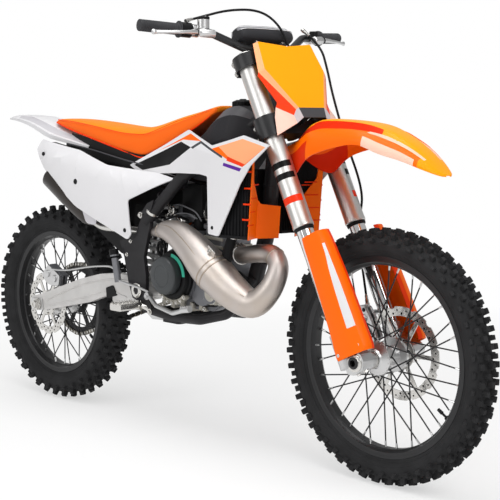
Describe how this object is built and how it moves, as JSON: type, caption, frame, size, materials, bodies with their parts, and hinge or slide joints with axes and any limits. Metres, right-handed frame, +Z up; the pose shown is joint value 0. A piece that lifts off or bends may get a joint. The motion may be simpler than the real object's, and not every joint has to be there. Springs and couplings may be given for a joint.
{
  "type": "motocross motorcycle",
  "caption": "Off-road racing motorcycle with knobbed tyres, a two-stroke engine, a flat bench seat, a front number plate and no stand.",
  "frame": {"origin": "the low point of the seat on the middle plane, where the rider sits; the ground is 0.960 m below it", "axes": "+X ahead, +Y to the rider's left, +Z up"},
  "size_m": [2.186, 0.8154, 1.3064],
  "materials": {
    "frame_steel": "satin dark grey",
    "frame_alloy_dark": "satin dark grey",
    "cast_alloy": "rough cast",
    "cover_grey": "satin",
    "silver_alloy": "satin",
    "black_alloy": "satin",
    "fork_silver": "satin",
    "fork_chrome": "polished",
    "bright_steel": "brushed",
    "pipe_steel": "bare and welded",
    "disc_steel": "ground",
    "silencer_dark": "satin brown-black",
    "radiator_black": "matt",
    "orange_plastic": "moulded",
    "white_plastic": "moulded",
    "black_plastic": "moulded",
    "tank_plastic": "grained",
    "plate_amber": "moulded",
    "seat_cover": "grained",
    "pad_foam": "covered foam",
    "shock_spring_white": "gloss",
    "chain_steel": "oiled",
    "sprocket_black": "anodised",
    "spoke_black": "satin",
    "grip_rubber": "ribbed",
    "cable_rubber": "smooth",
    "tyre": "knobbed"
  },
  "bodies": {
    "chassis": {"main_frame": "frame_steel", "subframe": "frame_alloy_dark", "engine": "cast_alloy", "clutch_cover": "cover_grey", "ignition_cover": "cast_alloy", "sprocket_cover": "black_plastic", "carburettor": "cast_alloy", "airbox": "black_plastic", "exhaust_pipe": "pipe_steel", "silencer": "silencer_dark", "radiators": "radiator_black", "radiator_guards": "orange_plastic", "fuel_tank": "tank_plastic", "fuel_cap": "black_plastic", "shroud_left": "white_plastic", "shroud_right": "white_plastic", "seat": "seat_cover", "side_panel_left": "white_plastic", "side_panel_right": "white_plastic", "rear_fender": "white_plastic", "shock_absorber": "shock_spring_white", "shock_linkage": "silver_alloy", "swingarm": "silver_alloy", "drive_chain": "chain_steel", "chain_guide": "black_plastic", "footpegs": "bright_steel", "foot_levers": "silver_alloy", "rear_brake": "silver_alloy", "rear_axle": "bright_steel"},
    "steering": {"upper_triple_clamp": "black_alloy", "lower_triple_clamp": "black_alloy", "fork_outer_tubes": "fork_silver", "fork_inner_tubes": "fork_chrome", "axle_clamps": "silver_alloy", "fork_guards": "orange_plastic", "front_axle": "bright_steel", "handlebar": "black_alloy", "throttle_housing": "black_plastic", "bar_pad": "pad_foam", "grips": "grip_rubber", "hand_levers": "silver_alloy", "throttle_cable": "cable_rubber", "number_plate": "plate_amber", "front_fender": "orange_plastic", "front_brake_caliper": "silver_alloy", "front_brake_hose": "cable_rubber"},
    "front_wheel": {"tyre_front": "tyre", "rim_front": "black_alloy", "hub_front": "silver_alloy", "spokes_front": "spoke_black", "brake_disc_front": "disc_steel"},
    "rear_wheel": {"tyre_rear": "tyre", "rim_rear": "black_alloy", "hub_rear": "silver_alloy", "spokes_rear": "spoke_black", "brake_disc_rear": "disc_steel", "rear_sprocket": "sprocket_black"}
  },
  "joints": [
    {"name": "steering_head", "type": "hinge", "parent": "chassis", "child": "steering", "pos_m": [0.94181, 0, -0.63508], "axis": [-0.4399, 0, 0.898], "range_deg": [-44, 44]},
    {"name": "front_wheel_spin", "type": "hinge", "parent": "steering", "child": "front_wheel", "pos_m": [0.993, 0, -0.61], "axis": [0, 1, 0], "continuous": true},
    {"name": "rear_wheel_spin", "type": "hinge", "parent": "chassis", "child": "rear_wheel", "pos_m": [-0.5, 0, -0.617], "axis": [0, 1, 0], "continuous": true}
  ]
}
